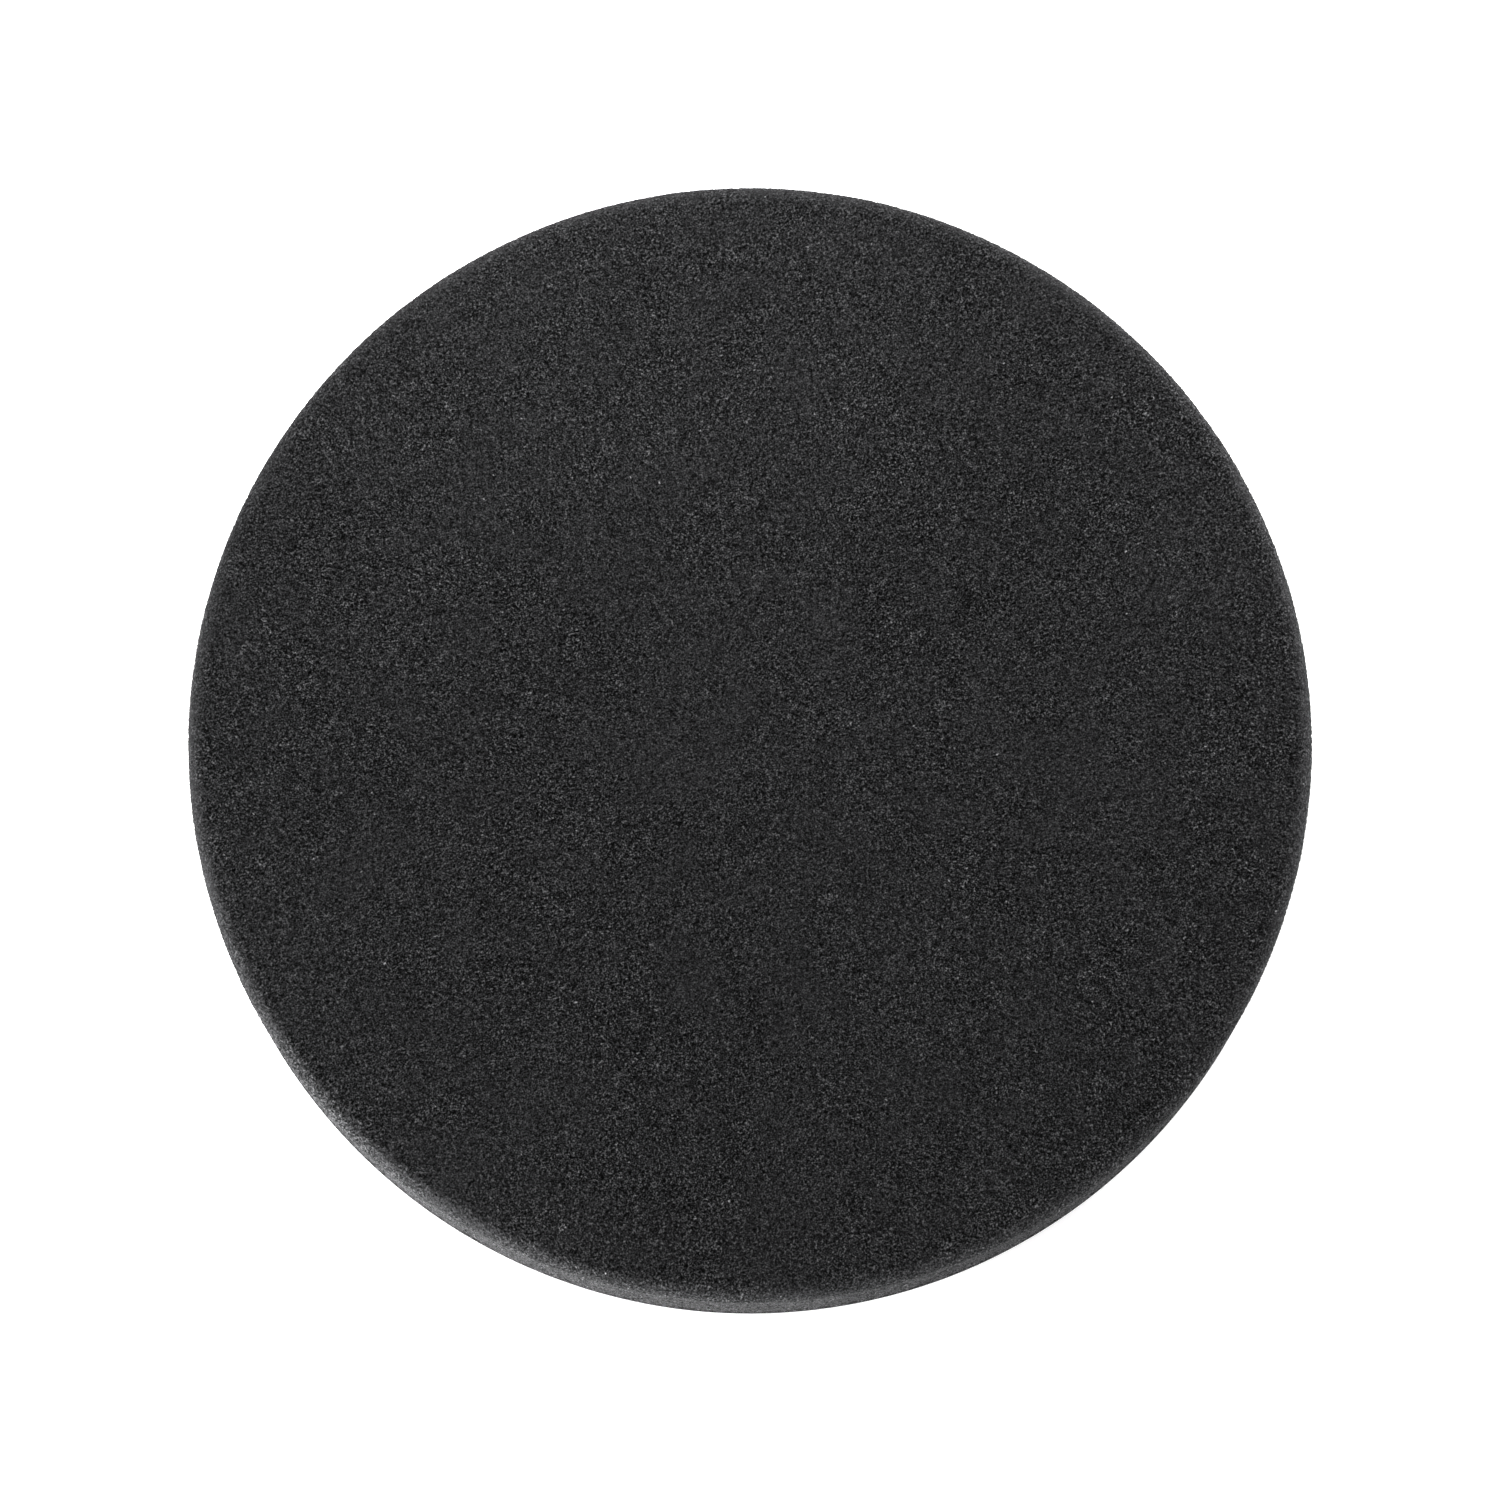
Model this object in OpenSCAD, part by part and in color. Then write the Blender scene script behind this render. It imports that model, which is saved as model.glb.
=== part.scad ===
// Round foam polishing pad with a hook-and-loop backing, lying on its loops.
// The origin is the centre of the loop face, and +Z points through the foam to the working face.

/* [Foam] */
// Diameter of the foam disc
pad_d = 150; // [75:1:200]
// Thickness of the foam disc
foam_h = 25; // [12:0.5:45]
// Radius of the rounding where the working face turns into the wall
edge_r = 2.5; // [0.5:0.1:5]

/* [Backing] */
// How far the backing layers stop short of the wall of the foam
backing_inset = 0.5; // [0:0.1:5]
// Thickness of the adhesive film between foam and cloth
film_h = 0.3; // [0.1:0.05:0.6]
// Thickness of the knitted ground of the loop cloth
cloth_h = 0.6; // [0.3:0.1:1.2]
// Standing height of the loops on the back of the cloth
pile_h = 1.6; // [0.8:0.1:3]

/* [Hidden] */
$fn = 180;
pad_r = pad_d / 2;
backing_r = pad_r - backing_inset;
cloth_z = pile_h;
film_z = cloth_z + cloth_h;
foam_z = film_z + film_h;

// Half of the foam's cross-section: a block whose upper outer corner is a quarter circle.
module foam_profile() {
    square([pad_r - edge_r, foam_h]);
    square([pad_r, foam_h - edge_r]);
    translate([pad_r - edge_r, foam_h - edge_r]) circle(edge_r);
}

// One full-width layer of the backing.
module backing_layer(z, h) {
    translate([0, 0, z]) cylinder(h = h, r = backing_r);
}

// Open-cell foam disc: it carries the polish and does the work.
module foam_body() {
    color([0.05, 0.05, 0.055]) translate([0, 0, foam_z]) rotate_extrude() foam_profile();
}

// Hot-melt film that bonds the cloth to the foam.
module adhesive_film() {
    color([0.16, 0.16, 0.17]) backing_layer(film_z, film_h);
}

// Warp-knitted ground that holds the feet of the loops.
module loop_cloth() {
    color([0.09, 0.09, 0.1]) backing_layer(cloth_z, cloth_h);
}

// Envelope of the standing loops, which the hooks of a backing plate catch.
module loop_pile() {
    color([0.12, 0.12, 0.13]) backing_layer(0, pile_h);
}

foam_body();
adhesive_film();
loop_cloth();
loop_pile();
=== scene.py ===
"""A black foam polishing pad that lies on its loop backing: foam, adhesive film, knitted cloth and loops."""

import math

import bpy
import numpy as np
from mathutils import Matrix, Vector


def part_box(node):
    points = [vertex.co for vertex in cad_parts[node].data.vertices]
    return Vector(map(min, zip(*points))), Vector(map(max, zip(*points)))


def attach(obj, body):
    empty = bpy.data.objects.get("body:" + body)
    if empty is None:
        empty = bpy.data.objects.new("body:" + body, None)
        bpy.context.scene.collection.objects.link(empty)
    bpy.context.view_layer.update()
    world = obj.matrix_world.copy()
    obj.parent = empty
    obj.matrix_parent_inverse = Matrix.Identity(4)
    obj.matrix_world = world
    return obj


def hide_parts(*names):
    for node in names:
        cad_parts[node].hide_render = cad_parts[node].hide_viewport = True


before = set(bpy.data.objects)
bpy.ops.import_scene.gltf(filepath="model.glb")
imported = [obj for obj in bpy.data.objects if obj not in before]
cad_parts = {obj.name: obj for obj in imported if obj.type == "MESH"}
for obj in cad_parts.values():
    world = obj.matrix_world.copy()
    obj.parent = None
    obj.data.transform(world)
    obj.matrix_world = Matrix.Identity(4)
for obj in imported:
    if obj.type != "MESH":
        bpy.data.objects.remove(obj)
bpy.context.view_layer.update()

BAKE_UV = "OFBake"  # the UV layout that the pieces' materials can be baked onto
MM = 0.001

# Places and sizes, from the frame
FOAM_LOW, FOAM_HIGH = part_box("foam_body")
FILM_LOW, FILM_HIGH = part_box("adhesive_film")
CLOTH_LOW, CLOTH_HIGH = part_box("loop_cloth")
PILE_LOW, PILE_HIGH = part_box("loop_pile")
PAD_R = FOAM_HIGH.x
BACKING_R = PILE_HIGH.x
FOAM_H = FOAM_HIGH.z - FOAM_LOW.z
PILE_H = PILE_HIGH.z - PILE_LOW.z
EDGE_R = 2.5 * MM  # rounding of the foam's working edge

# Fineness of the foam's mesh
FOAM_GRID = 720  # quads across the working face
WALL_ROWS = 106  # rows of quads down the wall, which makes them about as fine

# The foam's open cells
CELL = 0.55 * MM  # mean width of a cell
PIT = 0.2 * MM  # depth of the deepest cut-open cells
STRUT_REACH = 0.42  # share of a cell over which its struts slope down

# How the foam departs from a plain disc
UNEVEN = 0.06 * MM  # slow rise and fall of the cut
DROOP = 0.45 * MM  # how far the face falls off at its rim
DROOP_WIDTH = 14 * MM  # how far in from the rim the fall starts
WAIST = 0.12 * MM  # how far the wall is drawn in, half way down
SHAG = 0.18 * MM  # mean depth of the torn cells on the wall
SHAG_START = 3 * MM  # how far below the rounding they reach their full depth
FOOT = 0.6 * MM  # height over which all this fades out above the film
SPECKS = 70  # bright grains on the face

# The knit of the cloth
WALE = 1.5 * MM  # width of one rib
COURSE = 1.25 * MM  # height of one row of stitches
RELIEF = 0.22 * MM  # depth between the ribs

# The loops
YARN_R = 0.11 * MM
LOOP_STEPS = 8  # rings of points along one loop
TUBE_SIDES = 3
LOOP_PITCH = 1.12 * MM  # how far apart the loops stand
EDGE_PITCH = 0.75 * MM  # the same along the cut edge, in each of two rows
NAP = 0.25 * MM  # how far the tips lean to +X
LEAN = 0.28 * MM  # how much that differs from loop to loop
ROOT = 0.12 * MM  # how far a foot reaches into the cloth

# ---------------------------------------------------------------- noise


def lattice_value(ix, iy, iz, seed):
    """A fixed pseudo-random number from 0 to 1 for each whole-number place."""
    with np.errstate(over="ignore"):
        h = ix.astype(np.uint32) * np.uint32(73856093)
        h ^= iy.astype(np.uint32) * np.uint32(19349663)
        h ^= iz.astype(np.uint32) * np.uint32(83492791)
        h ^= np.uint32(seed * 2654435761 % 2**32)
        for shift in (16, 13):
            h ^= h >> np.uint32(shift)
            h *= np.uint32(0x85EBCA6B)
        h ^= h >> np.uint32(16)
    return h.astype(np.float64) / 2**32


def soft_noise(points, width, seed):
    """Smooth noise from -1 to 1, whose bumps are about width across."""
    p = points / width
    base = np.floor(p).astype(np.int64)
    t = p - base
    t = t * t * (3 - 2 * t)
    total = np.zeros(len(points))
    for dx in (0, 1):
        for dy in (0, 1):
            for dz in (0, 1):
                corner = lattice_value(base[:, 0] + dx, base[:, 1] + dy, base[:, 2] + dz, seed)
                weight = np.abs(1 - dx - t[:, 0]) * np.abs(1 - dy - t[:, 1]) * np.abs(1 - dz - t[:, 2])
                total += weight * corner
    return 2 * total - 1


def cells(points, width, seed):
    """For each point: how far it is from the nearest cell border, from 0 up to about 1, and that cell's own
    random number."""
    p = points / width
    base = np.floor(p).astype(np.int64)
    nearest = np.full(len(points), 9.0)
    second = np.full(len(points), 9.0)
    tone = np.zeros(len(points))
    for dx in (-1, 0, 1):
        for dy in (-1, 0, 1):
            for dz in (-1, 0, 1):
                at = (base[:, 0] + dx, base[:, 1] + dy, base[:, 2] + dz)
                away = np.zeros(len(points))
                for axis in range(3):
                    centre = at[axis] + lattice_value(*at, seed + axis)
                    away += (centre - p[:, axis]) ** 2
                away = np.sqrt(away)
                closer = away < nearest
                second = np.where(closer, nearest, np.minimum(second, away))
                tone = np.where(closer, lattice_value(*at, seed + 3), tone)
                nearest = np.where(closer, away, nearest)
    return second - nearest, tone


# ---------------------------------------------------------------- meshes


def make_piece(name, points, faces, corner_uv):
    """An object from points (n, 3), a list of face arrays (m, 3 or 4) and a UV for each face corner."""
    mesh = bpy.data.meshes.new(name)
    sizes = np.concatenate([np.full(len(f), f.shape[1]) for f in faces])
    corners = np.concatenate([f.ravel() for f in faces])
    mesh.vertices.add(len(points))
    mesh.vertices.foreach_set("co", points.astype(np.float32).ravel())
    mesh.loops.add(len(corners))
    mesh.loops.foreach_set("vertex_index", corners.astype(np.int32))
    mesh.polygons.add(len(sizes))
    mesh.polygons.foreach_set("loop_start", (np.cumsum(sizes) - sizes).astype(np.int32))
    mesh.update(calc_edges=True)
    layer = mesh.uv_layers.new(name=BAKE_UV)
    layer.data.foreach_set("uv", corner_uv.astype(np.float32).ravel())
    mesh.polygons.foreach_set("use_smooth", np.ones(len(sizes), bool))
    mesh.update()
    piece = bpy.data.objects.new(name, mesh)
    bpy.context.scene.collection.objects.link(piece)
    return piece


def add_values(piece, name, values):
    """Stores one number per point, which a material reads by name."""
    layer = piece.data.attributes.new(name, "FLOAT", "POINT")
    layer.data.foreach_set("value", values.astype(np.float32))


def disc_grid(n):
    """A grid of n by n quads pressed into the unit disc: its points, quads and rim, counterclockwise."""
    side = np.linspace(-1, 1, n + 1)
    x, y = np.meshgrid(side, side)
    flat = np.abs(x) >= np.abs(y)
    reach = np.where(flat, x, y)
    safe = np.where(reach == 0, 1, reach)
    turn = np.where(flat, math.pi / 4 * y / safe, math.pi / 2 - math.pi / 4 * x / safe)
    points = np.stack([reach * np.cos(turn), reach * np.sin(turn)], -1).reshape(-1, 2)
    index = np.arange((n + 1) ** 2).reshape(n + 1, n + 1)
    quads = np.stack([index[:-1, :-1], index[:-1, 1:], index[1:, 1:], index[1:, :-1]], -1).reshape(-1, 4)
    rim = np.concatenate([index[0, :-1], index[:-1, -1], index[-1, :0:-1], index[:0:-1, 0]])
    return points, quads, rim


def short_triangles(points, quads):
    """Splits each quad along its shorter diagonal, so that no run of long triangles shows as a grain."""
    first = np.linalg.norm(points[quads[:, 0]] - points[quads[:, 2]], axis=1)
    second = np.linalg.norm(points[quads[:, 1]] - points[quads[:, 3]], axis=1)
    turned = np.where((second < first)[:, None], np.roll(quads, -1, axis=1), quads)
    return np.concatenate([turned[:, [0, 1, 2]], turned[:, [0, 2, 3]]])


def puck(n, flat_r, edge_r, wall_h, wall_rows):
    """A closed round body, its fine face at z = 0 and the rest below: a fine grid over the face and its
    rounded edge, a wall of quads, and plain rings on the other side.

    Gives points, outward normals, faces and corner UVs."""
    grid, quads, rim = disc_grid(n)
    count = len(rim)
    along = np.hypot(grid[:, 0], grid[:, 1])
    angle = np.arctan2(grid[:, 1], grid[:, 0])
    arc = max(edge_r, 1e-9) * math.pi / 2
    bend = np.clip(along * (flat_r + arc) - flat_r, 0, arc) / max(edge_r, 1e-9)
    radius = np.minimum(along * (flat_r + arc), flat_r) + edge_r * np.sin(bend)
    face = np.stack([radius * np.cos(angle), radius * np.sin(angle), edge_r * (np.cos(bend) - 1)], -1)
    face_normal = np.stack([np.sin(bend) * np.cos(angle), np.sin(bend) * np.sin(angle), np.cos(bend)], -1)
    full_r = flat_r + edge_r
    turn = angle[rim]
    out = np.stack([np.cos(turn), np.sin(turn), np.zeros(count)], -1)
    points, normals, faces = [face], [face_normal], [short_triangles(face, quads)]
    spread = full_r / (full_r + wall_h)
    uv_points = [0.5 * spread * grid + 0.5]
    above, used = rim, len(grid)

    def ring(z, r, normal, uv_r):
        nonlocal above, used
        here = used + np.arange(count)
        points.append(np.stack([r * out[:, 0], r * out[:, 1], np.full(count, z)], -1))
        normals.append(np.broadcast_to(normal, (count, 3)))
        uv_points.append(0.5 + 0.5 * uv_r * out[:, :2])
        faces.append(np.stack([above, here, np.roll(here, -1), np.roll(above, -1)], -1))
        above, used = here, used + count

    for k in range(1, wall_rows + 1):
        depth = edge_r + (wall_h - edge_r) * k / wall_rows
        share = (depth - edge_r) / (wall_h - edge_r)
        ring(-depth, full_r, out, spread + (1 - spread) * share)
    for share in (0.97, 0.8, 0.5, 0.2):
        ring(-wall_h, full_r * share, (0, 0, -1), 1.0)
    points.append(np.array([[0, 0, -wall_h]]))
    normals.append(np.array([[0, 0, -1.0]]))
    uv_points.append(np.array([[1.0, 1.0]]))
    faces.append(np.stack([above, np.full(count, used), np.roll(above, -1)], -1))
    uv = np.concatenate(uv_points)
    corner_uv = np.concatenate([uv[f.ravel()] for f in faces])
    return np.concatenate(points), np.concatenate(normals), faces, corner_uv


# ---------------------------------------------------------------- foam


def stirred(points, normals, rng):
    """The points moved about within their own faces, so that their grid doesn't show. The film side stays."""
    spacing = 2 * PAD_R / FOAM_GRID
    slide = rng.uniform(-0.4, 0.4, (len(points), 3)) * spacing
    slide -= normals * (slide * normals).sum(1)[:, None]
    inside = (points[:, 2] > -FOAM_H + spacing) & (np.hypot(points[:, 0], points[:, 1]) > 1e-9)
    return points + slide * inside[:, None]


def foam_depth(points, normals, pits):
    """How far each point sinks below the plain disc: cells, an uneven cut, a fallen rim and a torn, drawn-in
    wall."""
    uneven = 0.5 + 0.5 * soft_noise(points, 6 * MM, 21)
    from_rim = PAD_R - np.hypot(points[:, 0], points[:, 1])
    slack = np.clip(1 - from_rim / DROOP_WIDTH, 0, 1)
    droop = DROOP * slack**2 * np.clip(normals[:, 2], 0, 1)
    up = points[:, 2] - FOAM_LOW.z
    waist = WAIST * np.sin(math.pi * np.clip(up / FOAM_H, 0, 1)) * np.hypot(normals[:, 0], normals[:, 1])
    down_wall = np.clip((FOAM_HIGH.z - EDGE_R - points[:, 2]) / SHAG_START, 0, 1)
    shaggy = SHAG * (1 + soft_noise(points, 0.6 * MM, 41)) * down_wall
    depth = pits + UNEVEN * uneven + waist + droop + shaggy
    return np.clip(depth, 0, None) * np.clip(up / FOOT, 0, 1)


def foam_piece():
    """The foam disc, its face, rounded edge and wall opened into small cells."""
    points, normals, faces, uv = puck(FOAM_GRID, PAD_R - EDGE_R, EDGE_R, FOAM_H, WALL_ROWS)
    rng = np.random.default_rng(11)
    points = stirred(points, normals, rng)
    points[:, 2] += FOAM_HIGH.z
    border, tone = cells(points, CELL, 5)
    # 1 on the cell borders and 0 in the pits: it sets how deep the pits sink, and the material paints the
    #                                          borders lighter and the pits darker, a painted highlight and
    #                                          painted shade over pits that the mesh really has
    strut_light_pit_shade = (1 - np.clip(border / STRUT_REACH, 0, 1) ** 0.8) * (0.9 + 0.1 * tone)
    worn = 2 * np.hypot(normals[:, 0], normals[:, 1]) * np.clip(normals[:, 2], 0, 1)  # 1 on the rounding
    pits = PIT * (1 - strut_light_pit_shade) * (0.5 + 0.5 * tone) * (1 - 0.6 * worn)
    points = points - normals * foam_depth(points, normals, pits)[:, None]
    piece = make_piece("foam", points, faces, uv)
    mottling = 0.25 * soft_noise(points, 4 * MM, 51) + 0.14 * soft_noise(points, 13 * MM, 52)
    specks = np.zeros(len(points))
    specks[rng.integers(0, (FOAM_GRID + 1) ** 2, SPECKS)] = rng.uniform(0.3, 1.0, SPECKS)
    add_values(piece, "strut_light_pit_shade", strut_light_pit_shade)
    add_values(piece, "matted", 1 + mottling - 0.25 * worn)
    add_values(piece, "specks", specks)
    return piece


# ---------------------------------------------------------------- backing


def film_piece():
    """The adhesive film, whose edge creeps in and out a little."""
    edge_r = 0.1 * MM
    points, normals, faces, uv = puck(120, BACKING_R - edge_r, edge_r, FILM_HIGH.z - FILM_LOW.z, 2)
    points[:, 2] += FILM_HIGH.z
    level = points * [1, 1, 0]
    wave = soft_noise(level, 5 * MM, 31) + 0.6 * soft_noise(level, 1.4 * MM, 32)
    near_edge = np.clip((np.hypot(points[:, 0], points[:, 1]) / BACKING_R - 0.97) / 0.03, 0, 1)
    points = points + level / BACKING_R * ((0.08 * wave - 0.1) * MM * near_edge)[:, None]
    return make_piece("film", points, faces, uv)


def turned_inside_out(faces, uv):
    """The same faces and corner UVs, with the corners of each face in the opposite order."""
    parts = np.split(uv, np.cumsum([f.size for f in faces])[:-1])
    uv = np.concatenate([p.reshape(*f.shape, 2)[:, ::-1].reshape(-1, 2) for p, f in zip(parts, faces)])
    return [f[:, ::-1] for f in faces], uv


def cloth_piece():
    """The knitted ground, with its wales and courses on the underside."""
    height, edge_r = CLOTH_HIGH.z - CLOTH_LOW.z, 0.2 * MM
    points, normals, faces, uv = puck(400, BACKING_R - edge_r, edge_r, height, 3)
    x, y = points[:, 0], points[:, 1]
    shift = 0.2 * WALE * np.sin(math.pi * y / COURSE)
    stitch = 0.5 + 0.5 * np.cos(2 * math.pi * y / COURSE)
    rib_light_hollow_shade = np.abs(np.cos(math.pi * (x + shift) / WALE)) ** 1.5 * (0.5 + 0.5 * stitch)
    knitted = points[:, 2] > -height / 2
    points = points - normals * (RELIEF * (1 - rib_light_hollow_shade) * knitted)[:, None]
    points[:, 2] = CLOTH_LOW.z - points[:, 2]
    faces, uv = turned_inside_out(faces, uv)
    piece = make_piece("cloth", points, faces, uv)
    # 1 on the ribs: it sets the relief, and the material paints the hollows between the ribs darker, as
    #                painted shade over the real relief
    add_values(piece, "rib_light_hollow_shade", rib_light_hollow_shade)
    return piece


def loop_feet(rng):
    """Where the loops stand: about one for each stitch of the cloth, and closer ones along the cut edge."""
    count = int(2 * BACKING_R / LOOP_PITCH)
    place = (np.arange(count) - (count - 1) / 2) * LOOP_PITCH
    x, y = (a.ravel() for a in np.meshgrid(place, place))
    x = x + rng.uniform(-0.4, 0.4, len(x)) * LOOP_PITCH
    y = y + rng.uniform(-0.4, 0.4, len(y)) * LOOP_PITCH
    keep = np.hypot(x, y) < BACKING_R - 0.8 * MM
    rounds = 2
    edge_count = rounds * int(2 * math.pi * BACKING_R / EDGE_PITCH)
    place = np.arange(edge_count) + rng.uniform(-0.4, 0.4, edge_count)
    around = rounds * 2 * math.pi * place / edge_count
    edge_r = BACKING_R - rng.uniform(0.35, 1.1, edge_count) * MM
    x = np.concatenate([x[keep], edge_r * np.cos(around)])
    y = np.concatenate([y[keep], edge_r * np.sin(around)])
    return x, y


def loop_lines(rng, x, y):
    """The middle line of each loop, as (steps, loops, 3): down from the cloth, round and back up, twisted."""
    n = len(x)
    turn = rng.uniform(0, 2 * math.pi, n)
    span = rng.uniform(0.45, 0.95, n) * MM
    drop = (PILE_H - YARN_R) * rng.uniform(0.78, 1.0, n)
    lean = rng.normal(0, 1, (2, n)) * LEAN
    lean[0] += NAP
    twist = rng.uniform(-1.1, 1.1, n)
    t = np.linspace(0, math.pi, LOOP_STEPS)[:, None]
    down = np.sin(t) ** 0.8
    across = -np.cos(t) * span / 2 * (1 + 0.7 * np.sin(t) ** 2)
    heading = turn + twist * down
    px = x + across * np.cos(heading) + lean[0] * down**2
    py = y + across * np.sin(heading) + lean[1] * down**2
    pz = PILE_HIGH.z + ROOT - down * (drop + ROOT)
    held = np.minimum(1, (BACKING_R - 0.1 * MM - YARN_R) / np.hypot(px, py))
    return np.stack([px * held, py * held, pz], -1)


def pile_pieces():
    """The standing loops, each a tube of yarn, in four quarters of the disc."""
    rng = np.random.default_rng(7)
    x, y = loop_feet(rng)
    line = loop_lines(rng, x, y)
    shade = rng.uniform(0, 1, len(x))
    quarter = np.floor((np.arctan2(y, x) + math.pi) / (math.pi / 2)).astype(int) % 4
    return [tubes(f"loops_{k + 1}", line[:, quarter == k], shade[quarter == k]) for k in range(4)]


def tubes(name, line, shade):
    """One piece of closed three-sided tubes, each along its own middle line."""
    n = line.shape[1]
    along = np.gradient(line, axis=0)
    along /= np.linalg.norm(along, axis=-1)[..., None]
    ends = line[-1] - line[0]
    side = np.stack([-ends[:, 1], ends[:, 0], np.zeros(n)], -1)[None] + np.zeros_like(line)
    side -= along * (side * along).sum(-1)[..., None]
    side /= np.linalg.norm(side, axis=-1)[..., None]
    other = np.cross(along, side)
    rings = []
    for k in range(TUBE_SIDES):
        a = 2 * math.pi * k / TUBE_SIDES
        rings.append(line + YARN_R * (math.cos(a) * side + math.sin(a) * other))
    points = np.stack(rings, 2).transpose(1, 0, 2, 3).reshape(-1, 3)
    points[:, 2] = np.maximum(points[:, 2], PILE_LOW.z)
    index = np.arange(n * LOOP_STEPS * TUBE_SIDES).reshape(n, LOOP_STEPS, TUBE_SIDES)
    low, high = index[:, :-1], index[:, 1:]
    quads = np.stack([low, np.roll(low, -1, 2), np.roll(high, -1, 2), high], -1).reshape(-1, 4)
    caps = np.concatenate([index[:, 0, ::-1], index[:, -1]])
    piece = make_piece(name, points, [quads, caps], loop_uv(n))
    add_values(piece, "shade", np.repeat(shade, LOOP_STEPS * TUBE_SIDES))
    return piece


def loop_uv(n):
    """Corner UVs for n capped tubes: each loop has its own small square of the picture."""
    steps, sides = LOOP_STEPS, TUBE_SIDES
    cell = math.ceil(math.sqrt(n))
    column, row = np.arange(n) % cell, np.arange(n) // cell
    u0 = np.arange(sides) / sides
    v0 = np.arange(steps - 1) / (steps - 1)
    corner_u = np.stack([u0, u0 + 1 / sides, u0 + 1 / sides, u0], -1)[None, None]
    corner_v = np.stack([v0, v0, v0 + 1 / (steps - 1), v0 + 1 / (steps - 1)], -1)[None, :, None]
    spread = np.zeros((n, steps - 1, sides, 4))
    u = (column[:, None, None, None] + 0.1 + 0.8 * corner_u + spread) / cell
    v = (row[:, None, None, None] + 0.1 + 0.8 * corner_v + spread) / cell
    tube_uv = np.stack([u, v], -1).reshape(-1, 2)
    cap_uv = np.repeat(np.stack([(column + 0.5) / cell, (row + 0.5) / cell], -1), sides, 0)
    return np.concatenate([tube_uv, cap_uv, cap_uv])


# ---------------------------------------------------------------- materials


class Nodes:
    """Short ways to add nodes to one material."""

    def __init__(self, name):
        self.material = bpy.data.materials.new(name)
        self.material.use_nodes = True
        self.tree = self.material.node_tree
        self.shader = self.tree.nodes["Principled BSDF"]

    def add(self, kind, **settings):
        node = self.tree.nodes.new("ShaderNode" + kind)
        for key, value in settings.items():
            setattr(node, key, value)
        return node

    def link(self, source, target):
        self.tree.links.new(source, target)

    def fill(self, socket, value):
        if hasattr(value, "is_output"):
            self.link(value, socket)
        else:
            socket.default_value = value

    def place(self):
        return self.add("TexCoord").outputs["Object"]

    def values(self, name):
        return self.add("Attribute", attribute_name=name).outputs["Fac"]

    def noise(self, width, detail=2.0, roughness=0.5):
        node = self.add("TexNoise")
        self.link(self.place(), node.inputs["Vector"])
        node.inputs["Scale"].default_value = 1 / width
        node.inputs["Detail"].default_value = detail
        node.inputs["Roughness"].default_value = roughness
        return node.outputs["Fac"]

    def math(self, operation, a, b=0.0):
        node = self.add("Math", operation=operation)
        self.fill(node.inputs[0], a)
        self.fill(node.inputs[1], b)
        return node.outputs[0]

    def spread(self, value, low, high, to_low=0.0, to_high=1.0):
        node = self.add("MapRange")
        self.fill(node.inputs["Value"], value)
        node.inputs["From Min"].default_value = low
        node.inputs["From Max"].default_value = high
        node.inputs["To Min"].default_value = to_low
        node.inputs["To Max"].default_value = to_high
        return node.outputs["Result"]

    def colours(self, value, stops):
        node = self.add("ValToRGB")
        ramp = node.color_ramp
        while len(ramp.elements) < len(stops):
            ramp.elements.new(0.5)
        for element, (at, colour) in zip(ramp.elements, stops):
            element.position = at
            element.color = (*colour, 1)
        self.link(value, node.inputs["Fac"])
        return node.outputs["Color"]

    def bump(self, height, distance, strength=1.0):
        node = self.add("Bump")
        node.inputs["Distance"].default_value = distance
        node.inputs["Strength"].default_value = strength
        self.link(height, node.inputs["Height"])
        self.link(node.outputs["Normal"], self.shader.inputs["Normal"])


def grey(value, blue=1.0):
    """A grey, tinged blue where blue is over 1."""
    return (value, value, value * blue)


def lint(n):
    """Stray fibres: short stretches of a few thin winding lines."""
    off_line = n.math("ABSOLUTE", n.math("SUBTRACT", n.noise(7 * MM, 3.0, 0.5), 0.5))
    line = n.spread(off_line, 0.0, 0.003, 1.0, 0.0)
    stretch = n.spread(n.noise(6 * MM, 1.0), 0.62, 0.68)
    return n.math("MULTIPLY", line, stretch)


def foam_grain(n):
    """How light each place of the foam is, mostly from 0.1 to 1: struts lightened by painted highlight and
    pits darkened by painted shade, fine grain, fibres and specks.
    """
    fine = n.spread(n.noise(0.32 * MM, 0.0, 0.5), 0.25, 0.75)
    finest = n.spread(n.noise(0.2 * MM, 0.0, 0.5), 0.25, 0.75)
    broad = n.spread(n.noise(28 * MM, 2.0, 0.5), 0.3, 0.7)
    # the cell borders are painted lighter and the pits darker: painted highlight and painted shade
    mix = n.math("MULTIPLY", n.values("strut_light_pit_shade"), 0.24)
    for layer, weight in ((fine, 0.27), (finest, 0.41), (broad, 0.02)):
        mix = n.math("ADD", mix, n.math("MULTIPLY", layer, weight))
    middle = 0.55  # the grain is stronger or weaker about this
    grain = n.math("MULTIPLY", n.math("SUBTRACT", mix, middle), n.values("matted"))
    mix = n.math("ADD", grain, middle)
    mix = n.math("ADD", mix, n.math("MULTIPLY", lint(n), 0.3))
    return n.math("ADD", mix, n.math("MULTIPLY", n.values("specks"), 0.9))


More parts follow.
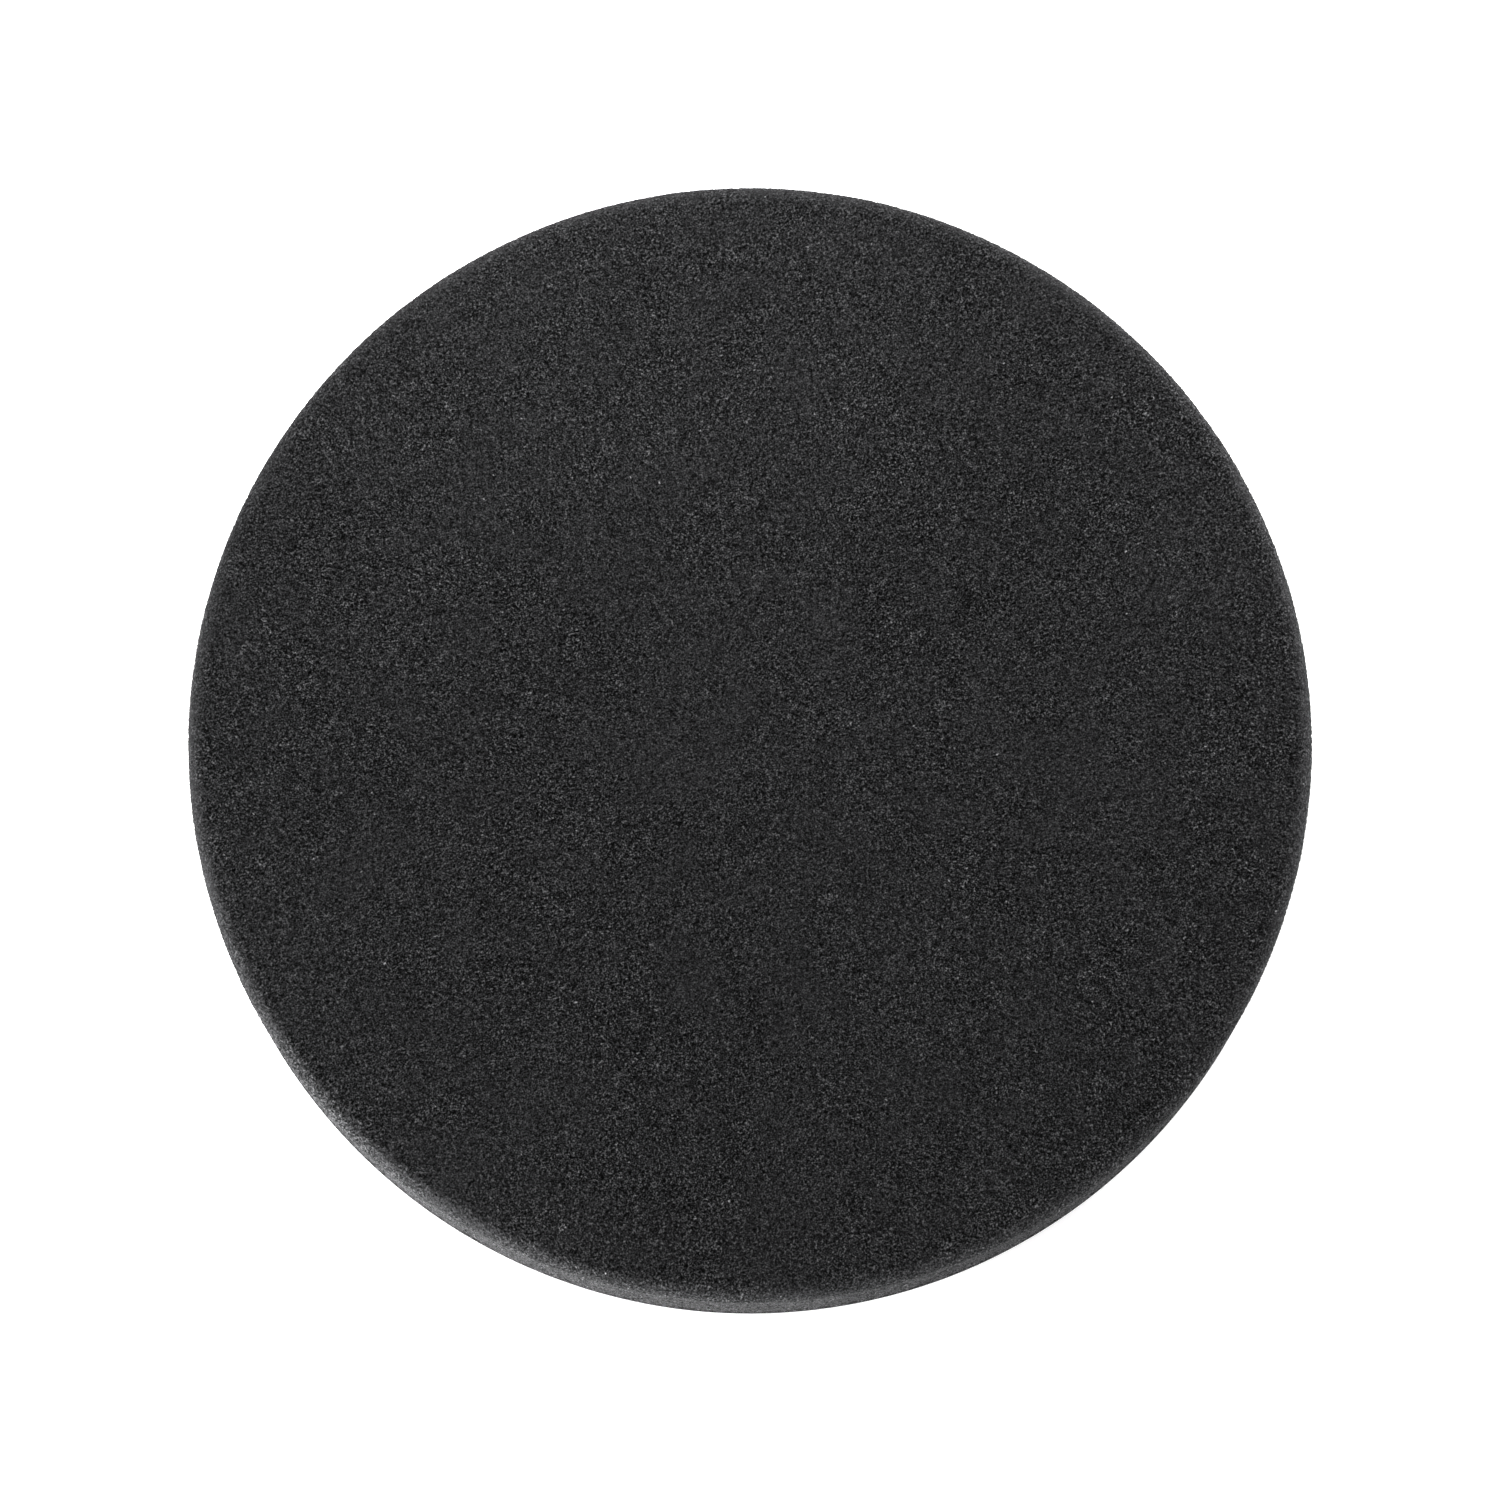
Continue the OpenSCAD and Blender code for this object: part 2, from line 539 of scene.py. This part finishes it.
def foam_material():
    """Black open-cell polyurethane: painted shade in the pits, painted highlight on the dull grey cell walls,
    a faint mottling and a soft sheen.
    """
    n = Nodes("black_foam")
    grain = foam_grain(n)
    half_way, steep = 0.016, 5.4  # the grey at 0.5, and how fast it rises
    places = (0.1, 0.25, 0.4, 0.55, 0.7, 0.85, 1.0)
    stops = [(at, grey(half_way * math.exp(steep * (at - 0.5)), 1.03)) for at in places]
    n.link(n.colours(grain, stops), n.shader.inputs["Base Color"])
    n.shader.inputs["Roughness"].default_value = 0.95
    n.shader.inputs["Specular IOR Level"].default_value = 0.0
    n.shader.inputs["Sheen Weight"].default_value = 0.05
    n.shader.inputs["Sheen Roughness"].default_value = 0.4
    n.bump(grain, 0.15 * MM, 0.6)
    return n.material


def film_material():
    """Dark, slightly streaky hot-melt adhesive."""
    n = Nodes("adhesive")
    streak = n.noise(0.8 * MM, 3.0, 0.6)
    n.link(n.colours(streak, [(0.3, grey(0.008)), (0.7, grey(0.018))]), n.shader.inputs["Base Color"])
    n.link(n.spread(streak, 0.3, 0.7, 0.5, 0.7), n.shader.inputs["Roughness"])
    n.shader.inputs["Specular IOR Level"].default_value = 0.2
    n.bump(streak, 0.1 * MM, 0.5)
    return n.material


def cloth_material():
    """Black knit, with painted shade in the hollows between its ribs, so lighter on the ribs than between
    them.
    """
    n = Nodes("knit_ground")
    fibre = n.noise(0.2 * MM, 3.0, 0.6)
    # the hollows between the ribs are painted darker: painted shade
    mix = n.math("ADD", n.math("MULTIPLY", n.values("rib_light_hollow_shade"), 0.7), n.math("MULTIPLY", fibre, 0.3))
    n.link(n.colours(mix, [(0.1, grey(0.002)), (0.9, grey(0.04))]), n.shader.inputs["Base Color"])
    n.shader.inputs["Roughness"].default_value = 0.85
    n.shader.inputs["Specular IOR Level"].default_value = 0.15
    n.shader.inputs["Sheen Weight"].default_value = 0.05
    n.bump(mix, 0.1 * MM, 0.6)
    return n.material


def loop_material():
    """Black nylon yarn, some loops a little lighter than others."""
    n = Nodes("loop_yarn")
    fibre = n.noise(0.12 * MM, 2.0, 0.6)
    mix = n.math("ADD", n.math("MULTIPLY", n.values("shade"), 0.5), n.math("MULTIPLY", fibre, 0.5))
    n.link(n.colours(mix, [(0.1, grey(0.005)), (0.9, grey(0.026))]), n.shader.inputs["Base Color"])
    n.shader.inputs["Roughness"].default_value = 0.55
    n.shader.inputs["Specular IOR Level"].default_value = 0.25
    n.shader.inputs["Sheen Weight"].default_value = 0.04
    n.bump(fibre, 0.03 * MM, 0.5)
    return n.material


# ---------------------------------------------------------------- stage


def white_floor():
    """A pale floor, lit a little from below, that stays white out to the horizon of every view."""
    bpy.ops.mesh.primitive_plane_add(size=40, location=(0, 0, PILE_LOW.z - 0.05 * MM))
    floor = bpy.context.object
    floor.name = "floor"
    n = Nodes("pale_floor")
    n.shader.inputs["Base Color"].default_value = (0.9, 0.9, 0.9, 1)
    n.shader.inputs["Roughness"].default_value = 0.9
    n.shader.inputs["Emission Color"].default_value = (1, 1, 1, 1)
    away = n.add("VectorMath", operation="LENGTH")
    n.link(n.place(), away.inputs[0])
    glow = n.spread(away.outputs["Value"], 0.4, 1.6, 0.35, 0.85)
    n.link(glow, n.shader.inputs["Emission Strength"])
    floor.data.materials.append(n.material)


def sky():
    """White walls all round and a dim ceiling."""
    world = bpy.data.worlds.new("sky")
    bpy.context.scene.world = world
    world.use_nodes = True
    tree = world.node_tree
    direction = tree.nodes.new("ShaderNodeTexCoord")
    split = tree.nodes.new("ShaderNodeSeparateXYZ")
    fade = tree.nodes.new("ShaderNodeMapRange")
    tree.links.new(direction.outputs["Generated"], split.inputs[0])
    tree.links.new(split.outputs["Z"], fade.inputs["Value"])
    fade.inputs["From Min"].default_value = math.sin(math.radians(10))
    fade.inputs["From Max"].default_value = math.sin(math.radians(35))
    fade.inputs["To Min"].default_value = 1.0
    fade.inputs["To Max"].default_value = 0.15
    fade.interpolation_type = "SMOOTHSTEP"
    background = tree.nodes["Background"]
    background.inputs["Color"].default_value = (1, 1, 1, 1)
    tree.links.new(fade.outputs["Result"], background.inputs["Strength"])


def area_light(name, azimuth, elevation, distance, width, height, power):
    """A soft rectangular light that looks at the pad. Azimuth 0 is to +X, 90 to +Y. Metres and watts."""
    a, e = math.radians(azimuth), math.radians(elevation)
    data = bpy.data.lights.new(name, "AREA")
    data.shape = "RECTANGLE"
    data.size, data.size_y, data.energy = width, height, power
    light = bpy.data.objects.new(name, data)
    bpy.context.scene.collection.objects.link(light)
    from_pad = Vector((math.cos(a) * math.cos(e), math.sin(a) * math.cos(e), math.sin(e)))
    light.location = from_pad * distance
    light.visible_camera = False
    light.rotation_euler = from_pad.to_track_quat("Z", "Y").to_euler()


def lights():
    """Broad low strips at the front and left, small ones near the pad at left and right, a box low behind
    and a box overhead."""
    area_light("front_strip", 274, 9, 0.9, 0.4, 0.15, 11.6)
    area_light("left_strip", 217, 8, 0.9, 0.25, 0.15, 5.7)
    area_light("left_near", 208, 6, 0.2, 0.06, 0.04, 1.15)
    area_light("right_near", 8, 9, 0.2, 0.08, 0.04, 0.6)
    area_light("back_box", 96, 24, 0.3, 0.3, 0.08, 1.95)
    area_light("top_box", 105, 68, 1.2, 0.7, 0.7, 5.15)


def camera():
    """Looks down at the working face from the front, nearly square on."""
    tilt, turn, distance = math.radians(7.0), math.radians(12), 1.1
    share = 0.7524  # of the picture's width, which the pad fills
    data = bpy.data.cameras.new("camera")
    data.sensor_width = 36
    data.lens = data.sensor_width * share * distance / (2 * PAD_R)
    eye = bpy.data.objects.new("camera", data)
    bpy.context.scene.collection.objects.link(eye)
    back = Vector((-math.sin(tilt) * math.sin(turn), -math.sin(tilt) * math.cos(turn), math.cos(tilt)))
    aim = Vector((-0.00032, -0.00146, FOAM_HIGH.z))
    eye.location = aim + back * distance
    eye.rotation_euler = back.to_track_quat("Z", "Y").to_euler()
    data.clip_start, data.clip_end = 0.01, 100
    bpy.context.scene.camera = eye


# ---------------------------------------------------------------- build


def finish_piece(piece, material, node):
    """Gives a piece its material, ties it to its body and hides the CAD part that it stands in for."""
    piece.data.materials.append(material)
    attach(piece, "root")
    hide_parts(node)


camera()
sky()
lights()
white_floor()
bpy.context.scene.view_settings.view_transform = "Standard"

foam = foam_piece()
film = film_piece()
cloth = cloth_piece()
pile = pile_pieces()
finish_piece(foam, foam_material(), "foam_body")
finish_piece(film, film_material(), "adhesive_film")
finish_piece(cloth, cloth_material(), "loop_cloth")
yarn = loop_material()
for loops in pile:
    finish_piece(loops, yarn, "loop_pile")
